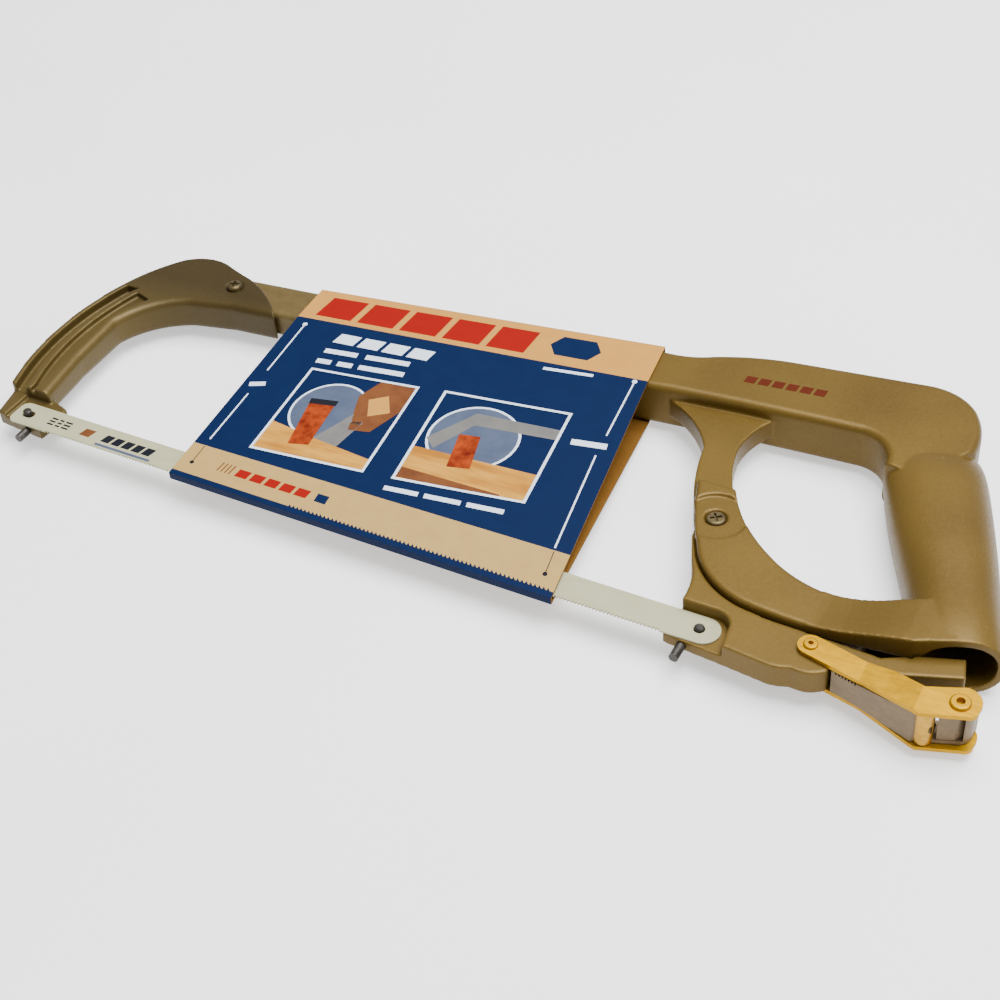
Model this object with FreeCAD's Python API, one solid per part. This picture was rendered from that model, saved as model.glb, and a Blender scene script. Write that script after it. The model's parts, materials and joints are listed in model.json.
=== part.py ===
import FreeCAD, Part
import math
import os
from FreeCAD import Vector

# High-tension hacksaw lying on its side, millimetres.
# The outline is drawn with X along the blade (front blade pin at X 0), Y from the blade up to the
# spine and Z through the thickness (Z 0 is the middle of the blade). settle() then moves
# everything so that the origin is under the middle of the whole saw.

# ---- blade ----
PIN_SPACING = 300.0           # between the holes of a 12 inch blade
BLADE_WIDTH = 12.7
BLADE_THICK = 0.64
BLADE_REAR_END = 7.6          # from a hole's centre to the end of the blade
BLADE_FRONT_END = 6.2
BLADE_CORNER = 3.4
TOOTH_PITCH = 25.4 / 18       # 18 teeth to the inch
TOOTH_DEPTH = 0.9
TEETH_FROM = 14.0
TEETH_TO = 288.0
BLADE_HOLE_R = 2.1
BLADE_PIN_R = 1.75
PIN_SHANK_R = 1.4             # the part of a side pin that sits in its casting
SLACK = 1.2                   # extra length of the front hole, taken up by the tension

# ---- spine tube ----
SPINE_TILT = 5.05             # degrees, the spine climbs towards the handle
SPINE_START = Vector(50.0, 104.2, 0)
SPINE_FRONT = -31.0           # ends of the tube, measured along it from SPINE_START
SPINE_REAR = 213.0
TUBE_HIGH = 21.0
TUBE_THICK = 12.0
TUBE_WALL = 1.6
TUBE_CORNER = 2.6
SOCKET_GAP = 0.05             # tube in its sockets

# ---- front bow ----
BOW_HALF_LOW = 5.2            # half thickness beside the blade
BOW_HALF_TOP = 7.4            # half thickness under the spine
DEEP_GROOVE = (2.4, 7.6)      # inset of the deep groove's two sides from the outer edge
DEEP_GROOVE_CUT = 3.8
SHALLOW_GROOVE_INSET = 10.8
BOW_INNER_ROUND = 3.3
SHALLOW_GROOVE_CUT = 2.3
BOW_BOLT = Vector(33.2, 103.5, 0)
BOLT_R = 2.5
BOLT_HEAD_R = 3.4
BOLT_RECESS_R = 4.4
BOLT_RECESS_Z = 6.7           # floor of the recess round the bolt's head

# ---- handle ----
BEAM_HALF = 10.0
BEAM_ROUND = 3.0
COLLAR_HALF = 9.0             # front end of the beam, thin enough for the card
STRUT_HALF_TOP = 4.0
STRUT_HALF_LOW = 5.6
GUARD_HALF = 7.5
GUARD_SLOT_HALF = 3.3
GRIP_WALL = 3.2
GRIP_POWER = 2.3              # 2 is an ellipse, more is squarer
REST_HALF = 13.0              # from the middle to the flat side that the saw lies on
# centre x, centre y, half width and half thickness of the grip, from the beam to its open end
GRIP_SECTIONS = (
    (346.2, 112.8, 17.4, 9.0),
    (348.4, 107.4, 18.5, 11.4),
    (353.0, 96.0, 19.0, 12.9),
    (360.0, 79.1, 18.6, 13.4),
    (368.0, 60.6, 17.4, 13.5),
    (375.0, 43.5, 16.4, 13.3),
    (383.0, 22.0, 16.0, 12.9),
)
GRIP_LEAN = 22.2              # degrees between the grip and the Y axis
END_LEAN = 20.0               # degrees between the grip's open end and the X axis

# ---- tension arm and its pivot ----
PIVOT = Vector(285.3, 49.1, 0)
PIVOT_BOLT_R = 3.0
PIVOT_HEAD_R = 3.7
PIVOT_RECESS_R = 4.2
PIVOT_SPOT_R = 12.0           # round spot face that the pivot's head and nut lie in
PIVOT_SPOT_Z = 6.3
PIVOT_RECESS_Z = 4.8
BUSH_R = 4.2
ARM_HALF = 5.0
EAR_HALF = 3.1
EAR_R = 7.6
CHEEK_SLOT_HALF = 2.5
GUARD_GAP = 0.7
ARM_TOP = 38.0                # above this height only the arm's thin ear goes on
SEAT_Z = -BLADE_THICK / 2 - 0.03
RUNNING = 0.05                # radial clearance of a running fit

# ---- tension lever ----
FULCRUM = Vector(338.8, 2.8, 0)
FULCRUM_R = 2.0
ECCENTRIC_R = 5.8
ECCENTRIC_THROW = 2.9
ECCENTRIC_ANGLE = -126.5      # degrees, four past the dead centre
STRAP_CLEARANCE = 0.45        # the opened pivot of the linkage
STRAP_RING = 1.3
STRAP_HALF = 2.2
ANCHOR = Vector(349.8, 15.7, 0)
ANCHOR_R = 2.0
ANCHOR_TOP = 5.6              # the anchor pin's hole is blind on the near side
PLATE_THICK = 1.6
PLATE_FRONT_Z = 5.15          # inner face of a link plate beside the arm
PLATE_REAR_Z = 7.3            # inner face of a link plate at its rear end
PLATE_BENDS = (358.5, 378.5)  # where a plate bends outwards and where it runs straight again
REAR_RIVET = Vector(391.2, -4.0, 0)
REAR_RIVET_R = 2.2
CHANNEL_FRONT_HALF = 4.9
CHANNEL_REAR_HALF = 7.0
CHANNEL_WALL = 1.4
SCREW_R = 1.9
SCREW_FRONT = Vector(352.5, -1.1, 0)
SCREW_REAR = Vector(385.0, -9.9, 0)
BARREL_R = 3.4

# ---- card sleeve ----
CARD = 0.6
CARD_FRONT_TOP = (70.6, 117.3)
CARD_FRONT_LOW = (78.8, -7.9)
CARD_REAR_TOP = (228.0, 132.3)
CARD_REAR_LOW = (247.3, -8.8)
CARD_FOLD = 0.17              # how far down its side the sleeve folds inwards
CARD_FRONT_HALF = 6.9         # half thickness of the sleeve's front end over the spine
CARD_REAR_HALF = 10.7         # and of its rear end, over the beam's collar
CARD_LOW_HALF = 1.5           # over the blade

BOTH_SIDES = (1, -1)


def point(place):
    return Vector(place[0], place[1], 0)


def face(start, *legs):
    """Flat closed face: a leg is an end point, or a pair (point on the arc, end point)."""
    here = point(start)
    edges = []
    for leg in legs:
        if isinstance(leg[0], (int, float)):
            end = point(leg)
            edges.append(Part.makeLine(here, end))
        else:
            end = point(leg[1])
            edges.append(Part.Arc(here, point(leg[0]), end).toShape())
        here = end
    if here.distanceToPoint(point(start)) > 1e-6:
        edges.append(Part.makeLine(here, point(start)))
    return Part.Face(Part.Wire(edges))


def slab(flat, low, high):
    """Solid between two heights over a flat face."""
    return flat.translated(Vector(0, 0, low)).extrude(Vector(0, 0, high - low))


def drum(centre, radius, low, high):
    """Upright cylinder."""
    return Part.makeCylinder(radius, high - low, Vector(centre.x, centre.y, low), Vector(0, 0, 1))


def rod(start, end, radius):
    """Cylinder between two points."""
    return Part.makeCylinder(radius, start.distanceToPoint(end), start, end - start)


def brick(low, high):
    """Box between two corners."""
    size = Vector(*high) - Vector(*low)
    return Part.makeBox(size.x, size.y, size.z, Vector(*low))


def thinning(y_low, half_low, y_high, half_high, x_low=-60.0, x_high=460.0):
    """Wedge whose half thickness changes with Y, for trimming a slab."""
    corners = [(y_low, -half_low), (y_high, -half_high), (y_high, half_high), (y_low, half_low)]
    wire = Part.makePolygon([Vector(x_low, y, z) for y, z in corners + corners[:1]])
    return Part.Face(wire).extrude(Vector(x_high - x_low, 0, 0))


def stepped(*profile):
    """Wedge whose half thickness changes with X in steps of (x, half thickness)."""
    upper = [Vector(x, -60, half) for x, half in profile]
    lower = [Vector(x, -60, -half) for x, half in reversed(profile)]
    return Part.Face(Part.makePolygon(upper + lower + upper[:1])).extrude(Vector(0, 260, 0))


def round_flat_edges(solid, radius):
    """Round the edges that run round the top and bottom faces of a slab."""
    box = solid.BoundBox
    flat = [e for e in solid.Edges if e.BoundBox.ZLength < 1e-4
            and min(abs(e.BoundBox.ZMin - box.ZMin), abs(e.BoundBox.ZMax - box.ZMax)) < 1e-3]
    return solid.makeFillet(radius, flat)


def inset_arc(points, inset):
    """The three points of an arc, moved towards its centre."""
    arc = Part.Arc(*[point(p) for p in points]).toShape().Curve
    scale = (arc.Radius - inset) / arc.Radius
    moved = [arc.Center + (point(p) - arc.Center) * scale for p in points]
    return [(p.x, p.y) for p in moved]


def hexagon(centre, across, low, high):
    """Hexagonal prism, measured across its flats."""
    radius = across / math.sqrt(3)
    turns = [math.radians(60 * step) for step in range(7)]
    ring = [Vector(centre.x + radius * math.cos(t), centre.y + radius * math.sin(t), 0) for t in turns]
    return slab(Part.Face(Part.makePolygon(ring)), low, high)


def along_spine(distance, offset=0.0):
    """Point at a distance along the spine and an offset square to it."""
    tilt = math.radians(SPINE_TILT)
    forward = Vector(math.cos(tilt), math.sin(tilt), 0)
    upward = Vector(-math.sin(tilt), math.cos(tilt), 0)
    return SPINE_START + forward * distance + upward * offset


def spine_bar(front, rear, high, thick, corner):
    """Solid bar of rounded rectangular section along the spine."""
    bar = Part.makeBox(rear - front, high, thick, Vector(front, -high / 2, -thick / 2))
    long_edges = [e for e in bar.Edges if e.BoundBox.XLength > 1]
    bar = bar.makeFillet(corner, long_edges)
    bar.rotate(Vector(0, 0, 0), Vector(0, 0, 1), SPINE_TILT)
    return bar.translated(SPINE_START)


# ------------------------------------------------------------------ front end

def spine_tube():
    tube = spine_bar(SPINE_FRONT, SPINE_REAR, TUBE_HIGH, TUBE_THICK, TUBE_CORNER)
    bore = spine_bar(SPINE_FRONT - 1, SPINE_REAR + 1, TUBE_HIGH - 2 * TUBE_WALL,
                     TUBE_THICK - 2 * TUBE_WALL, TUBE_CORNER - TUBE_WALL)
    tube = tube.cut(bore)
    tube = tube.cut(drum(BOW_BOLT, BOLT_R + RUNNING, -20, 20))
    return tube.cut(set_screw_hole())


def socket_bar(front, rear):
    """Room for the tube inside a casting."""
    return spine_bar(front, rear, TUBE_HIGH + 2 * SOCKET_GAP, TUBE_THICK + 2 * SOCKET_GAP,
                     TUBE_CORNER)


BOW_OUTER = ((-15.5, 9.5), (-21.7, 44.3), (-15.2, 86.5))
BOW_INNER = ((-1.0, 62.0), (5.8, 75.5), (21.0, 86.4))


def bow_outline():
    """Whole side view of the front bow, from the blade seat round to the end of its socket."""
    return face(BOW_OUTER[0], BOW_OUTER[1:], ((-9.2, 100.9), (-1.4, 112.6)),
                ((8.5, 118.0), (22.5, 116.3)), ((29.0, 113.9), (36.0, 111.6)),
                ((50.5, 103.2), (59.5, 95.0)), (62.0, 92.3), (40.0, 90.5),
                BOW_INNER[2], (BOW_INNER[1], BOW_INNER[0]), (0.4, 36.0), (4.0, 9.5))


def inner_edges(solid):
    """The long edges between the bow's two faces and its hollow side."""
    chosen = []
    for edge in solid.Edges:
        middle = edge.valueAt((edge.FirstParameter + edge.LastParameter) / 2)
        along_face = edge.BoundBox.ZLength < 1.5 and edge.BoundBox.YMin > 30
        if along_face and -2 < middle.x < 58 and middle.y < 0.3 * middle.x + 81:
            chosen.append(edge)
    return chosen


def bow_grooves():
    """One deep and one shallow groove along the bow, between its rims."""
    outer = inset_arc(BOW_OUTER, DEEP_GROOVE[0])
    ridge = inset_arc(BOW_OUTER, DEEP_GROOVE[1])
    beside = inset_arc(BOW_OUTER, SHALLOW_GROOVE_INSET)
    deep = face((outer[0][0], 4.0), outer[0], outer[1:], (-6.5, 86.0), ridge[2], (ridge[1], ridge[0]),
                (ridge[0][0], 4.0))
    shallow = face((-3.4, 4.0), (-4.2, 40.0), (-5.0, 62.0), ((-2.0, 73.0), (3.0, 80.5)),
                   beside[2], (beside[1], beside[0]), (beside[0][0], 4.0))
    return deep, shallow


def front_bow():
    bow = slab(bow_outline(), -BOW_HALF_TOP, BOW_HALF_TOP)
    bow = bow.common(thinning(-10, BOW_HALF_LOW, 85, BOW_HALF_TOP).fuse(
        thinning(85, BOW_HALF_TOP, 125, BOW_HALF_TOP))).removeSplitter()
    bow = bow.makeFillet(BOW_INNER_ROUND, inner_edges(bow))
    deep, shallow = bow_grooves()
    for flat, cut in ((deep, DEEP_GROOVE_CUT), (shallow, SHALLOW_GROOVE_CUT)):
        keep = thinning(-10, BOW_HALF_LOW - cut, 125, BOW_HALF_TOP - cut + 0.9)
        bow = bow.cut(slab(flat, -12, 12).cut(keep))
    seat = slab(face((-12.4, -4.2), (11.0, -6.2), (12.6, 9.5), (4.0, 12.0), (-15.5, 12.0)),
                -BOW_HALF_LOW - 0.2, SEAT_Z)
    seat = seat.fuse(slab(face((-12.4, -4.2), (-8.2, -4.6), (-8.2, 9.5), (-15.5, 9.5)), SEAT_Z, 1.2))
    bow = bow.fuse(seat).removeSplitter()
    bow = bow.cut(socket_bar(SPINE_FRONT - SOCKET_GAP, 60))
    bow = bow.cut(drum(BOW_BOLT, BOLT_R + RUNNING, -20, 20))
    bow = bow.cut(drum(BOW_BOLT, BOLT_RECESS_R, BOLT_RECESS_Z, 20))
    bow = bow.cut(drum(Vector(0, 0, 0), BLADE_PIN_R, -4.4, 0))
    return bow.cut(front_side_pin())


def domed_screw(centre, head_r, low, high, shank_r, shank_end, turn):
    """Screw with a domed head between two heights, a cross slot and a shank below it."""
    head = drum(centre, head_r, low, high)
    rim = [e for e in head.Edges if abs(e.BoundBox.ZMin - high) < 1e-3 and e.BoundBox.ZLength < 1e-3]
    head = head.makeFillet(0.6 * (high - low), rim)
    for angle in (turn, turn + 90):
        slot = brick((-0.6 * head_r, -0.45, (low + high) / 2), (0.6 * head_r, 0.45, high + 1))
        slot.rotate(Vector(0, 0, 0), Vector(0, 0, 1), angle)
        head = head.cut(slot.translated(centre))
    return head.fuse(drum(centre, shank_r, shank_end, low)).removeSplitter()


def bow_bolt():
    return domed_screw(BOW_BOLT, BOLT_HEAD_R, BOLT_RECESS_Z, BOLT_RECESS_Z + 2.2,
                       BOLT_R, -REST_HALF + 0.6, 20)


def bow_nut():
    nut = hexagon(BOW_BOLT, 8.0, -REST_HALF, -BOW_HALF_TOP)
    return nut.cut(drum(BOW_BOLT, BOLT_R, -20, 20))


def shouldered_pin(x, root, shoulder, tip, z):
    """Pin along Y with a thinner shank up to its shoulder."""
    shank = rod(Vector(x, root, z), Vector(x, shoulder, z), PIN_SHANK_R)
    return shank.fuse(rod(Vector(x, shoulder, z), Vector(x, tip, z), BLADE_PIN_R)).removeSplitter()


def front_blade_pin():
    pin = drum(Vector(0, 0, 0), BLADE_PIN_R, -4.4, 2.4)
    top = [e for e in pin.Edges if abs(e.BoundBox.ZMin - 2.4) < 1e-3]
    return pin.makeChamfer(0.4, top)


def front_side_pin():
    """Spare pin for turning the blade a quarter turn."""
    return shouldered_pin(3.7, 3.2, -6.7, -11.7, -2.9)


# ------------------------------------------------------------------ blade

def toothed_edge(low):
    """Corner points along the cutting edge, at one V notch to each pitch."""
    corners = []
    for number in range(int((TEETH_TO - TEETH_FROM) / TOOTH_PITCH)):
        root = TEETH_FROM + number * TOOTH_PITCH
        corners.append((root, low))
        corners.append((root + 0.25 * TOOTH_PITCH, low + TOOTH_DEPTH))
    return corners


def saw_blade():
    half = BLADE_WIDTH / 2
    front = -BLADE_FRONT_END
    rear = PIN_SPACING + BLADE_REAR_END
    bend = BLADE_CORNER * (1 - math.sqrt(0.5))
    outline = face((front + BLADE_CORNER, -half), *toothed_edge(-half), (TEETH_TO, -half),
                   (rear - half, -half), ((rear, 0), (rear - half, half)), (front + BLADE_CORNER, half),
                   ((front + bend, half - bend), (front, half - BLADE_CORNER)), (front, BLADE_CORNER - half),
                   ((front + bend, bend - half), (front + BLADE_CORNER, -half)))
    blade = slab(outline, -BLADE_THICK / 2, BLADE_THICK / 2)
    hole = drum(Vector(PIN_SPACING, 0, 0), BLADE_HOLE_R, -1, 1)
    slot = slab(face((0, BLADE_HOLE_R), (SLACK, BLADE_HOLE_R),
                     ((SLACK + BLADE_HOLE_R, 0), (SLACK, -BLADE_HOLE_R)), (0, -BLADE_HOLE_R),
                     ((-BLADE_HOLE_R, 0), (0, BLADE_HOLE_R))), -1, 1)
    return blade.cut(hole).cut(slot)


# ------------------------------------------------------------------ handle

def beam():
    """Top of the handle, from the tube's socket to the back corner."""
    flat = face((212.0, 129.9), (231.0, 131.7), ((239.5, 133.0), (247.5, 136.4)),
                ((263.5, 142.3), (281.5, 145.7)), (332.0, 151.6), ((344.0, 149.8), (353.6, 142.3)),
                ((358.6, 131.2), (359.8, 119.0)), (352.0, 108.0), (343.0, 105.0), (337.0, 115.0),
                (300.0, 113.2), (268.0, 111.2), (212.0, 106.1))
    solid = slab(flat, -BEAM_HALF, BEAM_HALF)
    hidden = brick((315, 90, -20), (370, 124, 20))
    shown = [e for e in solid.Edges if e.BoundBox.ZLength < 1e-4
             and not hidden.BoundBox.isInside(e.CenterOfMass)]
    solid = solid.makeFillet(BEAM_ROUND, shown)
    return solid.common(stepped((200, COLLAR_HALF), (240, BEAM_HALF), (380, BEAM_HALF)))


def strut():
    """Web from the beam down to the guard, thinner than both."""
    flat = face((238.5, 109.5), ((253.7, 100.5), (264.6, 86.3)), ((268.2, 70.0), (276.0, 51.0)),
                (292.0, 56.5), ((283.3, 70.0), (277.0, 90.3)), ((278.0, 101.0), (284.0, 114.0)))
    solid = slab(flat, -8, 8)
    return solid.common(thinning(45, STRUT_HALF_LOW, 116, STRUT_HALF_TOP))


def guard_outline():
    """Knuckle guard: a curved web from the arm's pivot to the grip's lower end."""
    return face((270.9, 66.0), ((276.8, 49.5), (284.6, 33.0)), ((293.5, 20.8), (309.8, 12.2)),
                ((331.0, 10.3), (352.6, 11.4)), (370.0, 13.0), (376.0, 34.0), (361.0, 32.0),
                ((336.2, 28.0), (311.0, 37.6)), ((296.5, 50.5), (286.2, 66.0)))


def guard():
    """The guard is a flat web that thickens into the grip at its rear end."""
    web = round_flat_edges(slab(guard_outline(), -GUARD_HALF, GUARD_HALF), 1.5)
    for low, high in ((PIVOT_SPOT_Z, 12), (-12, -PIVOT_SPOT_Z)):
        web = web.cut(drum(PIVOT, PIVOT_SPOT_R, low, high))
    return web


def guard_root():
    """Fairing between the guard and the grip's lower end."""
    beside_grip = face((364.0, 12.5), (370.0, 13.0), (383.0, 18.3), (380.0, 38.0), (364.0, 33.0))
    block = slab(guard_outline(), -20, 20).common(brick((334, 0, -20), (370, 60, 20)))
    clear = ARM_HALF + 0.8
    block = block.fuse([slab(beside_grip, clear, 20), slab(beside_grip, -20, -clear)])
    return block.common(stepped((330, 7.3), (338, 7.6), (346, 8.5), (353, 9.7), (360, 11.0), (367, 12.1),
                                (374, 12.6), (384, 12.8)))


def beam_root():
    """Rounded corner between the beam's lower side and the grip's front."""
    flat = face((314.0, 118.0), (314.0, 113.9), ((325.6, 111.0), (331.4, 99.0)), (345.0, 96.0),
                (345.0, 118.0))
    solid = slab(flat, -BEAM_HALF, BEAM_HALF)
    corner = [e for e in solid.Edges if e.BoundBox.ZLength < 1e-4 and e.Curve.TypeId == "Part::GeomCircle"]
    return solid.makeFillet(BEAM_ROUND, corner)


def guard_slot():
    """Room inside the guard for the arm's thin ear and the draw strap."""
    flat = face((255.0, 36.0), (266.0, 55.0), (289.0, 55.0), (294.5, 48.0), ((300.5, 40.0), (315.0, 29.8)),
                ((334.0, 23.0), (352.0, 24.2)), (372.0, 26.0), (372.0, 0.0), (270.0, 0.0))
    slot = slab(flat, -GUARD_SLOT_HALF, GUARD_SLOT_HALF)
    return slot.fuse(drum(PIVOT, EAR_R + 0.5, -GUARD_SLOT_HALF, GUARD_SLOT_HALF))


def grip_ring(section, wall):
    """Closed smooth section square to the grip, with squarer sides than an ellipse."""
    x, y, half_width, half_thick = section
    lean = math.radians(GRIP_LEAN)
    across = Vector(math.cos(lean), math.sin(lean), 0)
    points = []
    for step in range(20):
        turn = 2 * math.pi * step / 20
        wide = math.copysign(abs(math.cos(turn)) ** (2 / GRIP_POWER), math.cos(turn))
        thick = math.copysign(abs(math.sin(turn)) ** (2 / GRIP_POWER), math.sin(turn))
        points.append(Vector(x, y, 0) + across * wide * (half_width - wall)
                      + Vector(0, 0, thick * (half_thick - wall)))
    curve = Part.BSplineCurve()
    curve.interpolate(Points=points, PeriodicFlag=True)
    return Part.Wire(curve.toShape())


def beyond_end(shift):
    """Everything past the grip's open end, moved along the grip by a distance."""
    lean = math.radians(END_LEAN)
    along = Vector(math.cos(lean), math.sin(lean), 0)
    outward = Vector(math.sin(lean), -math.cos(lean), 0)
    start = Vector(380.0, 17.2, 0) + outward * shift
    corners = [start - along * 60, start + along * 60, start + along * 60 + outward * 60,
               start - along * 60 + outward * 60]
    return slab(Part.Face(Part.makePolygon(corners + corners[:1])), -30, 30)


def grip():
    """Solid outer form of the grip."""
    lower = GRIP_SECTIONS[-1]
    lean = math.radians(GRIP_LEAN)
    past = (lower[0] + 30 * math.sin(lean), lower[1] - 30 * math.cos(lean), lower[2], lower[3])
    outer = Part.makeLoft([grip_ring(s, 0) for s in GRIP_SECTIONS + (past,)], True)
    outer = outer.common(brick((300, -60, -REST_HALF), (440, 180, REST_HALF + 10)))
    return outer.cut(beyond_end(0))


def grip_hollow():
    """Inside of the grip, open at its lower end."""
    lower = GRIP_SECTIONS[-1]
    lean = math.radians(GRIP_LEAN)
    past = (lower[0] + 30 * math.sin(lean), lower[1] - 30 * math.cos(lean), lower[2], lower[3])
    return Part.makeLoft([grip_ring(s, GRIP_WALL) for s in GRIP_SECTIONS[1:] + (past,)], True)


def handle():
    body = grip().fuse(guard()).fuse([beam(), strut(), guard_root(), beam_root()]).removeSplitter()
    body = body.cut(grip_hollow())
    body = body.cut(guard_slot())
    body = body.cut(socket_bar(160, SPINE_REAR + SOCKET_GAP))
    body = body.cut(drum(PIVOT, PIVOT_BOLT_R + RUNNING, -20, 20))
    body = body.cut(drum(PIVOT, PIVOT_RECESS_R, PIVOT_RECESS_Z, 20))
    body = body.cut(drum(ANCHOR, ANCHOR_R, -20, ANCHOR_TOP))
    return body.cut(set_screw_hole())


def set_screw_hole():
    return rod(along_spine(205, -TUBE_HIGH / 2 - 4), along_spine(205, -TUBE_HIGH / 2 + TUBE_WALL + 0.01), 2.0)


def set_screw():
    """Grub screw that locks the tube in the handle, driven from the underside."""
    start = along_spine(205, -TUBE_HIGH / 2 - 2.4)
    end = along_spine(205, -TUBE_HIGH / 2 + TUBE_WALL)
    socket_end = along_spine(205, -TUBE_HIGH / 2 - 0.9)
    return rod(start, end, 2.0).cut(rod(start, socket_end, 0.9))


# ------------------------------------------------------------------ pivot

def pivot_bolt():
    return domed_screw(PIVOT, PIVOT_HEAD_R, PIVOT_RECESS_Z, PIVOT_SPOT_Z + 0.2, PIVOT_BOLT_R,
                       -PIVOT_SPOT_Z - 4.4, 35)


def pivot_nut():
    nut = hexagon(PIVOT, 10.0, -PIVOT_SPOT_Z - 4.0, -PIVOT_SPOT_Z)
    return nut.cut(drum(PIVOT, PIVOT_BOLT_R, -20, 20))


def pivot_bush():
    return drum(PIVOT, BUSH_R, -EAR_HALF, EAR_HALF).cut(drum(PIVOT, PIVOT_BOLT_R + RUNNING, -20, 20))


def anchor_pin():
    """Pin in a blind hole across the guard, which the draw strap pulls on."""
    return drum(ANCHOR, ANCHOR_R, -GUARD_HALF, ANCHOR_TOP)


# ------------------------------------------------------------------ tension arm

def arm_outline():
    return face((278.5, 50.0), (279.6, 40.5), ((284.2, 29.5), (287.6, 22.2)), ((289.9, 14.5), (290.2, 5.0)),
                (288.9, -6.4), (312.0, -8.4), (326.0, -9.8), ((331.6, -9.7), (335.8, -8.2)),
                ((341.9, -8.15), (347.4, -4.6)), (347.6, 1.3), (368.0, 3.0), (389.0, 10.6),
                (386.6, 19.3), (372.0, 14.2), (362.0, 9.0), (352.0, 9.0), (326.0, 19.0), (309.0, 25.0),
                (296.5, 38.0), (291.0, 48.0))


def blade_seat():
    """Step in the arm that the rear end of the blade lies in."""
    return slab(face((280.0, -20.0), (280.0, 7.0), (303.5, 7.0), ((308.7, 4.6), (310.4, 0.0)),
                     (313.0, -20.0)), SEAT_Z, 12)


def tension_arm():
    flat = arm_outline()
    body = slab(flat, -ARM_HALF, ARM_HALF)
    clear = guard_outline().makeOffset2D(GUARD_GAP)
    over_guard = slab(clear, -12, 12).fuse(brick((260, ARM_TOP, -12), (310, 80, 12)))
    body = body.cut(over_guard.cut(brick((250, -20, -EAR_HALF), (400, 90, EAR_HALF))))
    body = body.fuse(drum(PIVOT, EAR_R, -EAR_HALF, EAR_HALF)).removeSplitter()
    body = body.cut(blade_seat())
    slot = slab(face((326.4, -7.4), (340.0, -7.4), (345.4, -2.6), (345.8, 0.0), (354.0, 4.5), (354.0, 30.0),
                     (326.4, 30.0)),
                -CHEEK_SLOT_HALF, CHEEK_SLOT_HALF)
    body = body.cut(slot)
    body = body.cut(slab(face((318.0, 10.0), (362.0, 8.5), (362.0, 40.0), (318.0, 40.0)), -12, 12))
    body = body.cut(drum(PIVOT, BUSH_R, -20, 20))
    body = body.cut(drum(FULCRUM, FULCRUM_R + RUNNING, -20, 20))
    body = body.cut(drum(Vector(PIN_SPACING, 0, 0), BLADE_PIN_R, -4.2, 0))
    return body.cut(rear_side_pin())


def rear_blade_pin():
    pin = drum(Vector(PIN_SPACING, 0, 0), BLADE_PIN_R, -4.2, 1.7)
    return pin.makeChamfer(0.4, [e for e in pin.Edges if abs(e.BoundBox.ZMin - 1.7) < 1e-3])


def rear_side_pin():
    return shouldered_pin(PIN_SPACING - 3.8, 2.5, -7.4, -13.6, -2.8)


# ------------------------------------------------------------------ tension lever

def plate_outline():
    return face((337.6, -1.5), ((334.4, 3.4), (339.4, 7.3)), (358.0, 3.0), (368.5, 1.8), (379.0, -1.6),
                (391.5, 3.4), ((396.6, 1.0), (397.6, -4.6)), ((396.9, -7.6), (394.4, -8.8)),
                (380.6, -13.4), (360.0, -6.5))


def link_plate(side):
    """Stamped side plate, bent outwards towards its rear end."""
    steps = [(330.0, PLATE_FRONT_Z), (PLATE_BENDS[0], PLATE_FRONT_Z),
             (PLATE_BENDS[1], PLATE_REAR_Z), (402.0, PLATE_REAR_Z)]
    inner = [Vector(x, -40, side * z) for x, z in steps]
    outer = [Vector(x, -40, side * (z + PLATE_THICK)) for x, z in reversed(steps)]
    sheet = Part.Face(Part.makePolygon(inner + outer + inner[:1])).extrude(Vector(0, 80, 0))
    plate = sheet.common(slab(plate_outline(), -20, 20))
    for centre, radius in ((FULCRUM, FULCRUM_R), (REAR_RIVET, REAR_RIVET_R)):
        plate = plate.cut(drum(centre, radius, -20, 20))
    return plate


def channel_outline():
    return face((348.6, -4.0), (378.5, -12.1), (392.0, -7.4), ((395.4, -5.0), (396.2, -1.0)),
                (396.4, 2.0), (390.0, 1.6), (378.5, -3.4), (352.6, 1.2), ((350.6, 0.0), (348.6, -4.0)))


def channel_inside():
    return face((345.0, -1.5), (348.9, -2.55), (378.6, -10.6), (391.3, -6.2), (394.6, -2.5), (394.6, 8.0),
                (345.0, 8.0))


def channel_wedge(inset):
    """The channel's thickness follows the link plates."""
    front = CHANNEL_FRONT_HALF - inset
    rear = CHANNEL_REAR_HALF - inset
    return stepped((340, front), (PLATE_BENDS[0], front), (PLATE_BENDS[1], rear), (402, rear))


def lever_notches():
    """Row of small notches in the channel's near side, for the thumb."""
    notches = []
    for number in range(7):
        x = 350.0 + 1.2 * number
        y = -4.4 - 0.27 * (x - 348.6)
        z = CHANNEL_FRONT_HALF
        notches.append(brick((x, y - 2, z - 0.8), (x + 0.6, y + 1.6, z + 1)))
    return notches


def tension_lever():
    """Pressed channel under the arm, open at the top and at the rear of its floor."""
    inner = channel_wedge(CHANNEL_WALL)
    room = slab(channel_inside(), -12, 12).common(inner)
    window = brick((380.2, -20.0, -12), (394.2, 0.0, 12)).common(inner)
    lever = slab(channel_outline(), -12, 12).common(channel_wedge(0)).cut(room).cut(window)
    for centre, radius in ((REAR_RIVET, REAR_RIVET_R), (barrel_centre(), BARREL_R)):
        lever = lever.cut(drum(centre, radius, -20, 20))
    return lever.cut(lever_notches())


def barrel_centre():
    travel = SCREW_REAR - SCREW_FRONT
    return SCREW_FRONT + travel * 0.9


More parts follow.
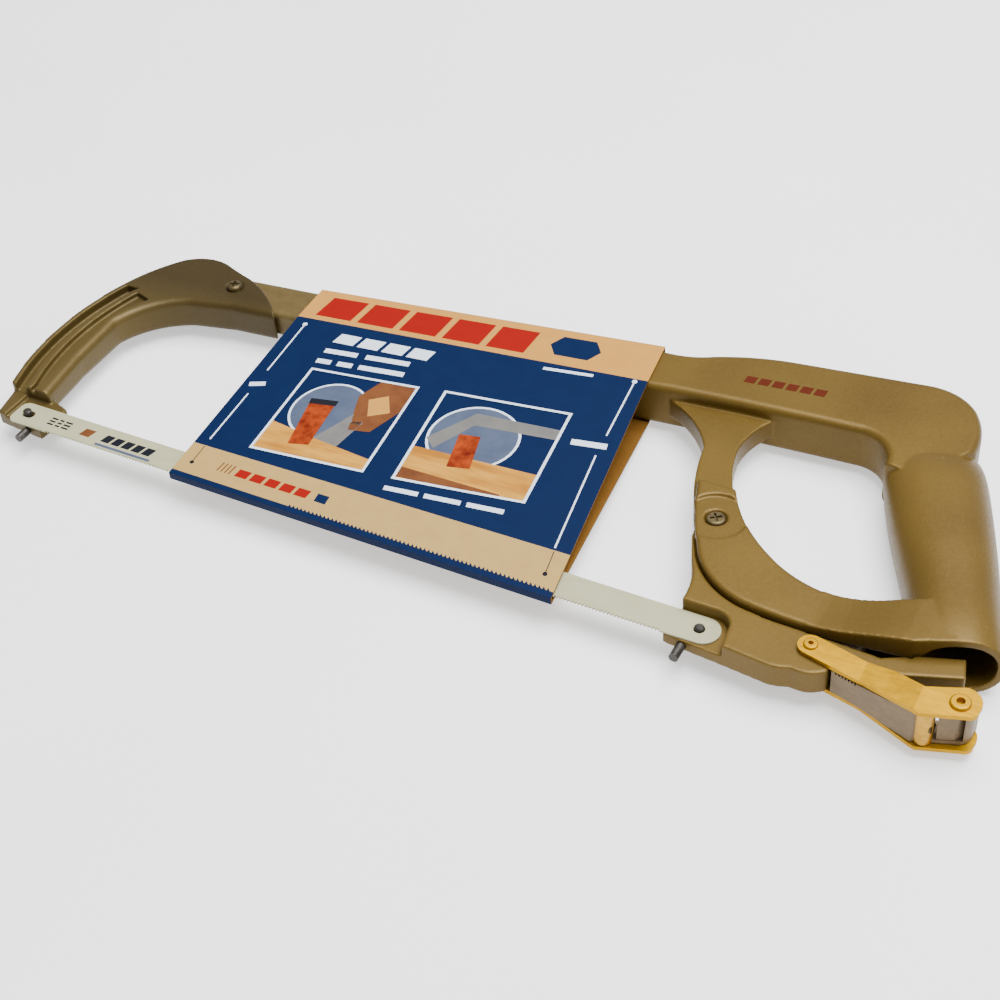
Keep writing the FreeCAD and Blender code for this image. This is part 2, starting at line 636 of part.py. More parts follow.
def riveted_pin(centre, radius, reach, cap_r, cap_high, dimple_r):
    """Pin with a rounded cap and a dimple at each end."""
    pin = drum(centre, radius, -reach, reach)
    for side in BOTH_SIDES:
        low, high = sorted((side * reach, side * (reach + cap_high)))
        cap = drum(centre, cap_r, low, high)
        rim = [e for e in cap.Edges if e.BoundBox.ZLength < 1e-3
               and abs(abs(e.BoundBox.ZMin) - reach - cap_high) < 1e-3]
        pin = pin.fuse(cap.makeFillet(0.6 * cap_high, rim))
        low, high = sorted((side * (reach - 0.8), side * (reach + 2)))
        pin = pin.cut(drum(centre, dimple_r, low, high))
    return pin.removeSplitter()


def fulcrum_pin():
    """Pin through the arm, peened over both link plates."""
    return riveted_pin(FULCRUM, FULCRUM_R, PLATE_FRONT_Z + PLATE_THICK, 2.5, 0.9, 0.9)


def eccentric():
    """Disc off centre on the fulcrum pin, with a lug that the adjusting screw pulls on."""
    turn = math.radians(ECCENTRIC_ANGLE)
    centre = FULCRUM + Vector(math.cos(turn), math.sin(turn), 0) * ECCENTRIC_THROW
    half = STRAP_HALF + 0.1
    disc = drum(centre, ECCENTRIC_R, -half, half)
    return disc.cut(drum(FULCRUM, FULCRUM_R, -20, 20))


def eccentric_centre():
    turn = math.radians(ECCENTRIC_ANGLE)
    return FULCRUM + Vector(math.cos(turn), math.sin(turn), 0) * ECCENTRIC_THROW


def draw_strap():
    """Ring round the eccentric and an eye on the anchor pin, joined by a bar."""
    centre = eccentric_centre()
    ring_r = ECCENTRIC_R + STRAP_CLEARANCE
    strap = drum(centre, ring_r + STRAP_RING, -STRAP_HALF, STRAP_HALF)
    strap = strap.fuse(drum(ANCHOR, ANCHOR_R + 2.2, -STRAP_HALF, STRAP_HALF))
    reach = ANCHOR - centre
    bar = Part.makeBox(reach.Length, 5.0, 2 * STRAP_HALF, Vector(0, -2.5, -STRAP_HALF))
    bar.rotate(Vector(0, 0, 0), Vector(0, 0, 1), math.degrees(math.atan2(reach.y, reach.x)))
    strap = strap.fuse(bar.translated(centre)).removeSplitter()
    strap = strap.cut(drum(centre, ring_r, -20, 20))
    return strap.cut(drum(ANCHOR, ANCHOR_R + RUNNING, -20, 20))


def rear_rivet():
    """Tubular rivet through both link plates, its ends rolled over."""
    return riveted_pin(REAR_RIVET, REAR_RIVET_R, PLATE_REAR_Z + PLATE_THICK, 3.5, 1.2, 1.5)


def rear_spacer():
    """Block on the rear rivet that keeps the channel's sides apart."""
    half = CHANNEL_REAR_HALF - CHANNEL_WALL - 0.05
    block = slab(face((386.2, -9.0), (391.6, -7.1), (393.9, -4.4), (393.9, -0.2), (386.2, -0.2)), -half, half)
    return block.cut(drum(REAR_RIVET, REAR_RIVET_R, -20, 20))


def adjuster_barrel():
    """Cross barrel that carries the rear end of the adjusting screw."""
    half = CHANNEL_REAR_HALF - 0.1
    barrel = drum(barrel_centre(), BARREL_R, -half, half)
    return barrel.cut(rod(SCREW_FRONT, SCREW_REAR, SCREW_R + RUNNING))


def adjusting_screw():
    """Threaded rod under the arm: the thread is a row of V grooves."""
    travel = SCREW_REAR - SCREW_FRONT
    unit = travel * (1 / travel.Length)
    screw = rod(SCREW_FRONT, SCREW_REAR, SCREW_R)
    for number in range(18):
        at = SCREW_FRONT + unit * (0.6 + 1.25 * number)
        ring = Part.makeTorus(SCREW_R + 0.12, 0.42, at, unit)
        screw = screw.cut(ring)
    drive = hexagon(Vector(0, 0, 0), 2.0, -2.0, 1.0)
    drive.rotate(Vector(0, 0, 0), Vector(0, 1, 0), 90)
    drive.rotate(Vector(0, 0, 0), Vector(0, 0, 1), math.degrees(math.atan2(unit.y, unit.x)))
    return screw.cut(drive.translated(SCREW_REAR))


# ------------------------------------------------------------------ card sleeve

def card_form(inset):
    """Twisted flat tube round the spine and the blade, made of flat triangles."""
    overrun = 3.0 if inset else 0.0
    rings = []
    for top, low, half, push in ((CARD_FRONT_TOP, CARD_FRONT_LOW, CARD_FRONT_HALF, -overrun),
                                 (CARD_REAR_TOP, CARD_REAR_LOW, CARD_REAR_HALF, overrun)):
        top = point(top) + Vector(push, -inset, 0)
        low = point(low) + Vector(push, inset, 0)
        fold = top + (low - top) * CARD_FOLD
        row = ((top, half - inset), (fold, half - inset), (low, CARD_LOW_HALF - inset))
        near = [place + Vector(0, 0, z) for place, z in row]
        far = [place - Vector(0, 0, z) for place, z in reversed(row)]
        rings.append(near + far)
    faces = [Part.Face(Part.makePolygon(ring + ring[:1])) for ring in rings]
    for place in range(6):
        after = (place + 1) % 6
        corners = [rings[0][place], rings[0][after], rings[1][after], rings[1][place]]
        halves = ((0, 1, 2), (0, 2, 3)) if place < 3 else ((0, 1, 3), (1, 2, 3))
        for half in halves:
            ring = [corners[index] for index in half]
            faces.append(Part.Face(Part.makePolygon(ring + ring[:1])))
    shell = Part.makeShell(faces)
    shell.sewShape()
    solid = Part.makeSolid(shell)
    if solid.Volume < 0:
        solid.reverse()
    return solid


def card_sleeve():
    return card_form(0.0).cut(card_form(CARD))


# ------------------------------------------------------------------ assembly

def all_parts():
    return {
        "front_bow": front_bow(),
        "spine_tube": spine_tube(),
        "front_bow_bolt": bow_bolt(),
        "front_bow_nut": bow_nut(),
        "front_blade_pin": front_blade_pin(),
        "front_side_pin": front_side_pin(),
        "saw_blade": saw_blade(),
        "handle": handle(),
        "handle_set_screw": set_screw(),
        "pivot_bolt": pivot_bolt(),
        "pivot_nut": pivot_nut(),
        "pivot_bush": pivot_bush(),
        "anchor_pin": anchor_pin(),
        "tension_arm": tension_arm(),
        "rear_blade_pin": rear_blade_pin(),
        "rear_side_pin": rear_side_pin(),
        "link_plate_near": link_plate(1),
        "link_plate_far": link_plate(-1),
        "tension_lever": tension_lever(),
        "fulcrum_pin": fulcrum_pin(),
        "eccentric": eccentric(),
        "draw_strap": draw_strap(),
        "rear_rivet": rear_rivet(),
        "rear_spacer": rear_spacer(),
        "adjuster_barrel": adjuster_barrel(),
        "adjusting_screw": adjusting_screw(),
        "card_sleeve": card_sleeve(),
    }


def settle(parts):
    """Move the saw so that the origin is under its middle, and return the shift."""
    box = FreeCAD.BoundBox()
    for shape in parts.values():
        box.add(shape.optimalBoundingBox(False, False))
    shift = Vector(-(box.XMin + box.XMax) / 2, -(box.YMin + box.YMax) / 2, -box.ZMin)
    for shape in parts.values():
        shape.translate(shift)
    return shift


os.makedirs("parts", exist_ok=True)
PARTS = all_parts()
print("shift", settle(PARTS))
for node, solid in PARTS.items():
    print(node, len(solid.Solids), "valid", solid.isValid(), "volume", round(solid.Volume, 1))
    solid.exportStep("parts/" + node + ".step")
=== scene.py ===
import json
import math

import bmesh
import bpy
from mathutils import Matrix, Vector

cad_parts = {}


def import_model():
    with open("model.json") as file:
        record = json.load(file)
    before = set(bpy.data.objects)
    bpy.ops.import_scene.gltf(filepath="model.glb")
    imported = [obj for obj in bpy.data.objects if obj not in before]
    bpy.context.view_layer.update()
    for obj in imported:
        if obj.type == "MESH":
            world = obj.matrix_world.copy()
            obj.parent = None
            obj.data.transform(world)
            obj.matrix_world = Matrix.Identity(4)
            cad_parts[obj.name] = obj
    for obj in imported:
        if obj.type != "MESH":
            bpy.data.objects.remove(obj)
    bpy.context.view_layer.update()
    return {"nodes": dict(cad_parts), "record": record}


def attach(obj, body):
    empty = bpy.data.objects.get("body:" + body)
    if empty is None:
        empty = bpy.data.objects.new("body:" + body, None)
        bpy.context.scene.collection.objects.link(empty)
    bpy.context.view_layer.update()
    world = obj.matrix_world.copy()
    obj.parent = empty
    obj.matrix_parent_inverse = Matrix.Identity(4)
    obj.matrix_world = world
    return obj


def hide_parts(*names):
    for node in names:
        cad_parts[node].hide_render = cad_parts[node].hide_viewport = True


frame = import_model()
nodes = frame["nodes"]

# The saw's own axes: X along the blade from its front pin, Y up to the spine, Z through the
# thickness, in millimetres. This is where their origin lies in the frame.
BLADE_ORIGIN = Vector((-0.188645, -0.069069, 0.013))


def place(x, y, z):
    """A point given in the saw's own axes, in metres in the frame."""
    return BLADE_ORIGIN + Vector((x, y, z)) / 1000


# ------------------------------------------------------------------ material helpers

class Shader:
    """A material's node tree, with short ways to add and join nodes."""

    def __init__(self, name):
        self.material = bpy.data.materials.new(name)
        self.material.use_nodes = True
        self.tree = self.material.node_tree
        self.surface = self.tree.nodes["Principled BSDF"]
        self.coords = self.add("ShaderNodeTexCoord").outputs["Object"]

    def add(self, kind, **settings):
        node = self.tree.nodes.new(kind)
        for key, value in settings.items():
            setattr(node, key, value)
        return node

    def link(self, source, target):
        self.tree.links.new(source, target)

    def noise(self, scale, detail=4.0, roughness=0.5, stretch=None):
        """Noise value from 0 to 1; the scale is in features per metre."""
        node = self.add("ShaderNodeTexNoise")
        node.inputs["Scale"].default_value = scale
        node.inputs["Detail"].default_value = detail
        node.inputs["Roughness"].default_value = roughness
        if stretch:
            mapping = self.add("ShaderNodeMapping")
            mapping.inputs["Scale"].default_value = stretch
            self.link(self.coords, mapping.inputs["Vector"])
            self.link(mapping.outputs["Vector"], node.inputs["Vector"])
        else:
            self.link(self.coords, node.inputs["Vector"])
        return node.outputs["Fac"]

    def ramp(self, value, *stops):
        """Colour ramp; a stop is (position, colour)."""
        node = self.add("ShaderNodeValToRGB")
        elements = node.color_ramp.elements
        while len(elements) < len(stops):
            elements.new(0.5)
        for element, (position, colour) in zip(elements, stops):
            element.position = position
            element.color = (*colour, 1)
        self.link(value, node.inputs["Fac"])
        return node.outputs["Color"]

    def levels(self, value, low, high, to_low, to_high):
        """Maps a value from one range to another, clamped."""
        node = self.add("ShaderNodeMapRange")
        settings = {"From Min": low, "From Max": high, "To Min": to_low, "To Max": to_high}
        for key, number in settings.items():
            node.inputs[key].default_value = number
        self.link(value, node.inputs["Value"])
        return node.outputs["Result"]

    def mix(self, factor, first, second):
        """Mixes two colours; each is a colour or a socket."""
        node = self.add("ShaderNodeMix", data_type="RGBA")
        for key, kind, value in (("Factor", "VALUE", factor), ("A", "RGBA", first), ("B", "RGBA", second)):
            socket = [s for s in node.inputs if s.name == key and s.type == kind][0]
            self.give(socket, value)
        return [s for s in node.outputs if s.type == "RGBA"][0]

    def multiply(self, first, second):
        node = self.add("ShaderNodeMath", operation="MULTIPLY")
        for socket, value in zip(node.inputs, (first, second)):
            self.give(socket, value)
        return node.outputs["Value"]

    def give(self, socket, value):
        """Sets a socket to a number or a colour, or links it to another socket."""
        if isinstance(value, bpy.types.NodeSocket):
            self.link(value, socket)
        elif isinstance(value, tuple):
            socket.default_value = (*value, 1)
        else:
            socket.default_value = value

    def bump(self, *layers):
        """Each layer is (height, strength, depth in metres)."""
        normal = None
        for height, strength, depth in layers:
            node = self.add("ShaderNodeBump")
            node.inputs["Strength"].default_value = strength
            node.inputs["Distance"].default_value = depth
            self.link(height, node.inputs["Height"])
            if normal:
                self.link(normal, node.inputs["Normal"])
            normal = node.outputs["Normal"]
        self.link(normal, self.surface.inputs["Normal"])

    def finish(self, colour, roughness, metallic=0.0, shine=0.5):
        settings = {"Base Color": colour, "Roughness": roughness, "Metallic": metallic,
                    "Specular IOR Level": shine}
        for key, value in settings.items():
            self.give(self.surface.inputs[key], value)
        return self.material


# Painted light: between these heights the bow's lacquer fades from a lighter colour low down to its darker
# colour above.
PAINTED_LIGHT_FADE = (-0.005, 0.030)        # along the frame's Y, from the bow's curve to its hump


def darker(colour, part):
    return tuple(channel * part for channel in colour)


def lacquered_casting(name, dark, light, edge, low=None):
    """Satin metallic lacquer over a die casting: soft drifts of tone, fine flake, edges lighter as rubbed
    wear and as painted highlight, creases darker as painted shade.

    With a low colour, the casting fades to it between the heights in the fade constant, lighter low down:
    painted light.
    """
    s = Shader(name)
    drift = s.noise(22, 2, 0.4)
    flake = s.noise(3200, 2, 0.6)
    grain = s.noise(900, 3, 0.6)
    point = s.add("ShaderNodeNewGeometry").outputs["Pointiness"]
    colour = s.ramp(drift, (0.30, dark), (0.70, light))
    # Painted light: lower parts take the lighter low colour.
    if low:
        apart = s.add("ShaderNodeSeparateXYZ")
        s.link(s.coords, apart.inputs["Vector"])
        colour = s.mix(s.levels(apart.outputs["Y"], *PAINTED_LIGHT_FADE, 1.0, 0.0), colour, low)
    colour = s.mix(s.levels(flake, 0.50, 0.75, 0.0, 0.30), colour, edge)
    # Lighter convex edges: partly rubbed wear, partly a painted highlight where rounded edges catch the
    # light.
    wear_and_highlight = s.levels(point, 0.52, 0.62, 0.0, 0.45)
    wear_and_highlight = s.multiply(wear_and_highlight, s.levels(s.noise(160, 4, 0.6), 0.30, 0.65, 0.35, 1.0))
    colour = s.mix(wear_and_highlight, colour, edge)
    # Painted shade: creases and hollows, where the pointiness is low, are darkened towards a deep brown.
    colour = s.mix(s.levels(point, 0.40, 0.485, 0.60, 0.0), colour, darker(dark, 0.35))
    s.bump((grain, 0.22, 0.00008), (drift, 0.10, 0.0006))
    return s.finish(colour, s.levels(grain, 0.3, 0.7, 0.36, 0.50), metallic=0.35, shine=0.22)


def plated_steel(name, dark, light, roughness, metallic, scratch=0.3):
    """Plated or passivated pressed steel with fine rolling lines and stains."""
    s = Shader(name)
    stain = s.noise(160, 5, 0.65)
    lines = s.noise(500, 3, 0.6, stretch=(0.15, 2.0, 2.0))
    colour = s.ramp(stain, (0.28, dark), (0.68, light))
    colour = s.mix(s.levels(lines, 0.4, 0.7, 0.0, 0.35), colour, darker(dark, 0.5))
    s.bump((lines, scratch, 0.00006), (stain, 0.15, 0.0003))
    rough = s.levels(stain, 0.3, 0.7, roughness, roughness + 0.16)
    return s.finish(colour, rough, metallic=metallic, shine=0.3)


def plain_steel(name, dark, light, roughness):
    """Oiled or hardened steel, slightly stained."""
    s = Shader(name)
    stain = s.noise(260, 4, 0.6)
    colour = s.ramp(stain, (0.3, dark), (0.7, light))
    s.bump((s.noise(1500, 3, 0.5), 0.2, 0.00005))
    return s.finish(colour, s.levels(stain, 0.3, 0.7, roughness, roughness + 0.2), metallic=0.75)


def enamel(name, base, shade, rubbed):
    """Sprayed enamel on the blade with steel showing where it is rubbed."""
    s = Shader(name)
    mottle = s.noise(90, 4, 0.5)
    colour = s.mix(s.levels(mottle, 0.40, 0.75, 0.0, 0.5), base, shade)
    rub = s.levels(s.noise(420, 4, 0.7, stretch=(0.12, 1.0, 1.0)), 0.60, 0.72, 0.0, 0.45)
    colour = s.mix(rub, colour, rubbed)
    s.bump((s.noise(900, 3, 0.5), 0.12, 0.00004))
    return s.finish(colour, s.levels(mottle, 0.3, 0.7, 0.34, 0.48), shine=0.25)


def card(name, base, shade, roughness=0.50):
    """Ink on thin board, or the bare board: faint fibre mottle and a weak sheen."""
    s = Shader(name)
    mottle = s.noise(140, 5, 0.6)
    fibre = s.noise(1400, 3, 0.6)
    colour = s.mix(s.levels(mottle, 0.40, 0.75, 0.0, 0.7), base, shade)
    s.bump((fibre, 0.12, 0.00004), (mottle, 0.10, 0.0004))
    return s.finish(colour, s.levels(fibre, 0.3, 0.7, roughness - 0.06, roughness + 0.08), shine=0.06)


def wood_print(name, light, dark):
    """Printed picture of a wooden board, with its grain."""
    s = Shader(name)
    grain = s.noise(120, 5, 0.6, stretch=(0.25, 1.6, 1.0))
    colour = s.ramp(grain, (0.35, dark), (0.60, light))
    return s.finish(colour, s.levels(grain, 0.3, 0.7, 0.46, 0.56), shine=0.06)


def spark_print(name, dark, light):
    """Printed picture of a glowing cut, in uneven reds."""
    s = Shader(name)
    glow = s.noise(230, 4, 0.6)
    colour = s.ramp(glow, (0.30, dark), (0.65, light))
    return s.finish(colour, s.levels(glow, 0.3, 0.7, 0.46, 0.56), shine=0.06)


MATERIALS = {
    "handle_paint": lacquered_casting("handle_lacquer", dark=(0.072, 0.042, 0.0055),
                                      light=(0.104, 0.062, 0.0095), edge=(0.19, 0.125, 0.034)),
    # Painted shade: the bow's lacquer is the handle's lacquer painted about three times darker, with
    # painted light towards its low part.
    "bow_paint": lacquered_casting("bow_lacquer_shaded", dark=(0.024, 0.0155, 0.0035),
                                   light=(0.036, 0.0235, 0.0055), edge=(0.125, 0.084, 0.024),
                                   low=(0.068, 0.046, 0.0115)),
    "tube_paint": lacquered_casting("tube_lacquer", dark=(0.056, 0.038, 0.0095),
                                    light=(0.076, 0.052, 0.0145), edge=(0.15, 0.105, 0.040)),
    "zinc_plate": plated_steel("yellow_zinc", (0.35, 0.178, 0.0003), (0.45, 0.242, 0.0006),
                               roughness=0.40, metallic=0.9, scratch=0.2),
    "lever_steel": plated_steel("lever_steel", (0.115, 0.078, 0.040), (0.170, 0.118, 0.064),
                                roughness=0.40, metallic=0.4),
    "dark_steel": plain_steel("oiled_steel", (0.050, 0.036, 0.014), (0.110, 0.080, 0.032), 0.34),
    "pin_steel": plain_steel("hard_steel", (0.028, 0.026, 0.023), (0.060, 0.055, 0.048), 0.34),
    "bush_brass": plated_steel("turned_brass", (0.34, 0.18, 0.020), (0.48, 0.27, 0.040),
                               roughness=0.26, metallic=0.9),
    "blade_enamel": enamel("blade_enamel", base=(0.31, 0.30, 0.185), shade=(0.25, 0.24, 0.145),
                           rubbed=(0.17, 0.15, 0.095)),
    "printed_card": card("kraft_board", (0.135, 0.062, 0.011), (0.110, 0.048, 0.008), roughness=0.7),
}
INKS = {
    "cream": card("cream_ink", (0.385, 0.185, 0.038), (0.345, 0.165, 0.034)),
    "low_cream": card("low_cream_ink", (0.325, 0.212, 0.070), (0.285, 0.183, 0.060)),
    "blue": card("blue_ink", (0.0012, 0.0072, 0.034), (0.0016, 0.0090, 0.040)),
    "red": card("red_ink", (0.200, 0.004, 0.002), (0.175, 0.004, 0.002)),
    "white": card("white_ink", (0.53, 0.59, 0.68), (0.45, 0.50, 0.58)),
    "grey": card("grey_ink", (0.055, 0.070, 0.110), (0.034, 0.046, 0.082)),
    "pale": card("pale_ink", (0.115, 0.112, 0.105), (0.080, 0.080, 0.080)),
    "tan": card("tan_ink", (0.120, 0.042, 0.014), (0.060, 0.018, 0.008)),
    "black": card("dark_ink", (0.006, 0.007, 0.011), (0.008, 0.009, 0.013)),
    "wood": wood_print("wood_ink", (0.42, 0.205, 0.030), (0.27, 0.105, 0.012)),
    "spark": spark_print("spark_ink", (0.075, 0.006, 0.002), (0.250, 0.034, 0.004)),
    "brown": card("brown_ink", (0.060, 0.010, 0.003), (0.050, 0.009, 0.003)),
}


# ------------------------------------------------------------------ the CAD pieces' finish

SLOTS = {row["node"]: row["material_slot"] for row in frame["record"]["subparts"]}
SHARP_EDGE = math.radians(30)
CASTINGS = ("handle", "front_bow", "tension_arm")
CAST_VOXEL = 0.00042
CAST_PASSES = 9


def dress(node):
    """Gives a CAD node its material and soft shading."""
    piece = nodes[node]
    piece.data.materials.clear()
    piece.data.materials.append(MATERIALS[SLOTS[node]])
    piece.data.shade_smooth()
    piece.data.set_sharp_from_angle(angle=SHARP_EDGE)


def cast_skin(node):
    """Rounds a casting's edges and blends its joins, as a real casting has them."""
    piece = nodes[node]
    remesh = piece.modifiers.new("casting", "REMESH")
    remesh.mode = "VOXEL"
    remesh.voxel_size = CAST_VOXEL
    remesh.use_smooth_shade = True
    soften = piece.modifiers.new("soften", "SMOOTH")
    soften.factor = 0.5
    soften.iterations = CAST_PASSES


for node in nodes:
    dress(node)
for node in CASTINGS:
    cast_skin(node)


# ------------------------------------------------------------------ printed card sleeve

# The card is laid out in millimetres: S along it from the front end, V down it from its top edge.
# An end is its top corner, its low corner and its half thickness at the top, as on the CAD sleeve.
CARD_LONG = 165.0
CARD_DEEP = 130.0
FOLD = 0.17                   # how far down its side the sleeve folds inwards
FRONT_END = (Vector((70.6, 117.3, 0)), Vector((78.8, -7.9, 0)), 6.9)
REAR_END = (Vector((228.0, 132.3, 0)), Vector((247.3, -8.8, 0)), 10.7)
LOW_HALF = 1.5                # half thickness over the blade
BOARD = 0.6                   # thickness
BOARD_STATIONS = 33           # rings of points along the board
BOARD_ROWS = 8                # rows of points from its fold to its lower edge
EDGE_DROP = 0.05              # the lower edge's ink below the board
INK_THICK = 0.00002           # metres
INK_LIFT = 0.03               # ink lies this far above the board
LAYER_STEP = 0.035            # and this much more for each layer's number
INK_CELL = 6.0                # ink is cut into cells this large, to follow the board


def end_point(end, down, inset=0.0):
    """A point on one end of the sleeve's near side, a part of the way down it."""
    top, low, half = end
    slope = max(0.0, (down - FOLD) / (1 - FOLD))
    point = top.lerp(low, down)
    point.z = half + (LOW_HALF - half) * slope - inset
    return point


def side_point(along, down, inset=0.0):
    """A point on the sleeve's near side, a part of the way along and down it."""
    return end_point(FRONT_END, down, inset).lerp(end_point(REAR_END, down, inset), along)


def card_point(s, v, lift=0.0, far=False):
    """A point on the sleeve, in metres in the frame."""
    spot = side_point(s / CARD_LONG, v / CARD_DEEP)
    height = spot.z + lift
    return place(spot.x, spot.y, -height if far else height)


def show(name, data):
    """Puts a mesh, lamp or camera into the scene."""
    thing = bpy.data.objects.new(name, data)
    bpy.context.collection.objects.link(thing)
    return thing


def mesh_object(name, vertices, faces, material):
    mesh = bpy.data.meshes.new(name)
    mesh.from_pydata(vertices, [], faces)
    mesh.materials.append(material)
    return show(name, mesh)


def on_sleeve(piece):
    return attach(piece, "sleeve")


def thicken(piece):
    """Gives a layer of ink its small thickness, so that it is a closed form."""
    layer = piece.modifiers.new("ink", "SOLIDIFY")
    layer.thickness = INK_THICK
    layer.offset = -1.0
    return piece


def board_ring(along, inset):
    """Points right round the sleeve at one place along it, on its outside or its inside."""
    downs = [0.0, FOLD]
    downs += [FOLD + (1 - FOLD) * row / BOARD_ROWS for row in range(1, BOARD_ROWS + 1)]
    edge = inset / CARD_DEEP
    near = [side_point(along, min(max(down, edge), 1 - edge), inset) for down in downs]
    far = [Vector((spot.x, spot.y, -spot.z)) for spot in reversed(near)]
    return [place(*spot) for spot in near + far]


def board():
    """The card itself: a closed skin round the spine and the blade, open at its ends."""
    vertices = []
    for station in range(BOARD_STATIONS):
        for inset in (0.0, BOARD):
            vertices += board_ring(station / (BOARD_STATIONS - 1), inset)
    ring = 2 * (BOARD_ROWS + 2)
    faces = []
    for station in range(BOARD_STATIONS - 1):
        for layer in (0, 1):
            first = (2 * station + layer) * ring
            for index in range(ring):
                after = (index + 1) % ring
                quad = (first + index, first + after,
                        first + 2 * ring + after, first + 2 * ring + index)
                faces.append(quad if layer == 0 else quad[::-1])
    for station in (0, BOARD_STATIONS - 1):
        first = 2 * station * ring
        for index in range(ring):
            after = (index + 1) % ring
            quad = (first + index, first + ring + index, first + ring + after, first + after)
            faces.append(quad if station == 0 else quad[::-1])
    piece = mesh_object("card_board", vertices, faces, MATERIALS["printed_card"])
    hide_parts("card_sleeve")
    return on_sleeve(piece)


def cut_across(flat, axis, distance):
    """Cuts flat shapes by a straight line, at a distance along one of the card's two axes."""
    middle = Vector((0, 0, 0))
    middle[axis] = distance
    bmesh.ops.bisect_plane(flat, geom=flat.verts[:] + flat.edges[:] + flat.faces[:],
                           plane_co=middle, plane_no=Vector((1 - axis, axis, 0)))


def printed(name, ink, shapes, layer, far=False):
    """Flat shapes of one ink, given by their corners on the card, laid on the board's surface."""
    flat = bmesh.new()
    for corners in shapes:
        flat.faces.new([flat.verts.new((s, v, 0)) for s, v in corners])
    for cell in range(1, int(CARD_LONG / INK_CELL) + 1):
        cut_across(flat, 0, INK_CELL * cell)
    cut_across(flat, 1, FOLD * CARD_DEEP)
    for cell in range(2, int(CARD_DEEP / INK_CELL) + 1):
        cut_across(flat, 1, INK_CELL * cell)
    bmesh.ops.triangulate(flat, faces=flat.faces[:])
    flat.normal_update()
    outward = 1 if far else -1
    for face in flat.faces:
        if face.normal.z * outward < 0:
            face.normal_flip()
    mesh = bpy.data.meshes.new(name)
    flat.to_mesh(mesh)
    flat.free()
    lift = INK_LIFT + LAYER_STEP * layer
    for vertex in mesh.vertices:
        vertex.co = card_point(vertex.co.x, vertex.co.y, lift, far)
    mesh.materials.append(INKS[ink])
    return on_sleeve(thicken(show(name, mesh)))


def band(top, low):
    """Strip along the whole card."""
    return [(0, top), (CARD_LONG, top), (CARD_LONG, low), (0, low)]


def stroke(start, end, width):
    """Straight bar between two points of the card."""
    first = Vector(start)
    last = Vector(end)
    along = (last - first).normalized()
    side = Vector((-along.y, along.x)) * width / 2
    return [tuple(first - side), tuple(last - side), tuple(last + side), tuple(first + side)]


def turns(count):
    """Angles evenly spaced round a circle."""
    return [2 * math.pi * number / count for number in range(count)]


def dot(centre, across):
    s, v = centre
    radius = across / 2
    return [(s + radius * math.cos(turn), v + radius * math.sin(turn)) for turn in turns(16)]


def slanted_blocks(left, top, right, low, count, slant, gap):
    """Row of equal slanted blocks, in place of lettering."""
    pitch = (right - left) / count
    row = []
    for number in range(count):
        start = left + number * pitch
        end = start + pitch - gap
        row.append([(start + slant, top), (end + slant, top), (end, low), (start, low)])
    return row


class Picture:
    """A framed square on the card; its own places run from 0 to 1 across and down."""

    def __init__(self, *corners):
        self.corners = [Vector(corner) for corner in corners]

    def at(self, across, down):
        top = self.corners[0].lerp(self.corners[1], across)
        low = self.corners[3].lerp(self.corners[2], across)
        return tuple(top.lerp(low, down))

    def shape(self, *places):
        return [self.at(*one) for one in places]

    def disc(self, centre, radius):
        return [self.at(centre[0] + radius * math.cos(turn), centre[1] + radius * math.sin(turn))
                for turn in turns(40)]

    def frame(self, inset=0.022):
        """Four bars round the picture."""
        outer = self.shape((0, 0), (1, 0), (1, 1), (0, 1))
        inner = self.shape((inset, inset), (1 - inset, inset), (1 - inset, 1 - inset), (inset, 1 - inset))
        bars = []
        for side in range(4):
            after = (side + 1) % 4
            bars.append([outer[side], outer[after], inner[after], inner[side]])
        return bars

    def ringed_disc(self, name, centre, radius):
        """Pale disc with a white rim."""
        printed(name + "_disc_rim", "white", [self.disc(centre, radius + 0.02)], 2)
        printed(name + "_disc", "grey", [self.disc(centre, radius)], 3)


def first_picture():
    square = Picture((23.7, 52.6), (74.0, 50.0), (73.5, 101.2), (23.1, 105.2))
    pale = square.shape((0.42, 0.78), (0.62, 0.42), (0.74, 0.50), (0.66, 0.80))
    tan = square.shape((0.56, 0.22), (0.66, 0.02), (0.98, 0.02), (0.98, 0.30), (0.84, 0.58), (0.66, 0.60))
    tan_light = square.shape((0.66, 0.24), (0.80, 0.16), (0.90, 0.34), (0.74, 0.42))
    ground = square.shape((0.01, 0.66), (0.50, 0.77), (0.99, 0.86), (0.99, 0.99), (0.01, 0.99))
    spark = square.shape((0.20, 0.38), (0.42, 0.36), (0.44, 0.84), (0.27, 0.87))
    spark_top = square.shape((0.19, 0.34), (0.43, 0.32), (0.43, 0.38), (0.20, 0.40))
    square.ringed_disc("first", (0.40, 0.44), 0.305)
    printed("first_pale", "pale", [pale], 4)
    printed("first_tan", "tan", [tan], 4)
    printed("first_tan_light", "cream", [tan_light], 5)
    printed("first_ground", "wood", [ground], 5)
    printed("first_spark", "spark", [spark], 6)
    printed("first_spark_top", "black", [spark_top], 7)
    printed("first_frame", "white", square.frame(), 8)


def second_picture():
    square = Picture((85.1, 48.9), (141.3, 46.4), (140.2, 94.4), (85.4, 100.2))
    bar = square.shape((0.33, 0.18), (0.98, 0.20), (0.98, 0.31), (0.36, 0.31))
    bar_end = square.shape((0.33, 0.18), (0.36, 0.31), (0.16, 0.62), (0.07, 0.52))
    ground = square.shape((0.01, 0.63), (0.99, 0.70), (0.99, 0.99), (0.01, 0.99))
    board_edge = square.shape((0.01, 0.86), (0.80, 0.96), (0.80, 0.99), (0.01, 0.97))
    spark = square.shape((0.29, 0.43), (0.45, 0.42), (0.50, 0.76), (0.33, 0.78))
    square.ringed_disc("second", (0.40, 0.44), 0.325)
    printed("second_bar", "pale", [bar, bar_end], 4)
    printed("second_ground", "wood", [ground], 5)
    printed("second_board_edge", "tan", [board_edge], 6)
    printed("second_spark", "spark", [spark], 7)
    printed("second_frame", "white", square.frame(), 8)


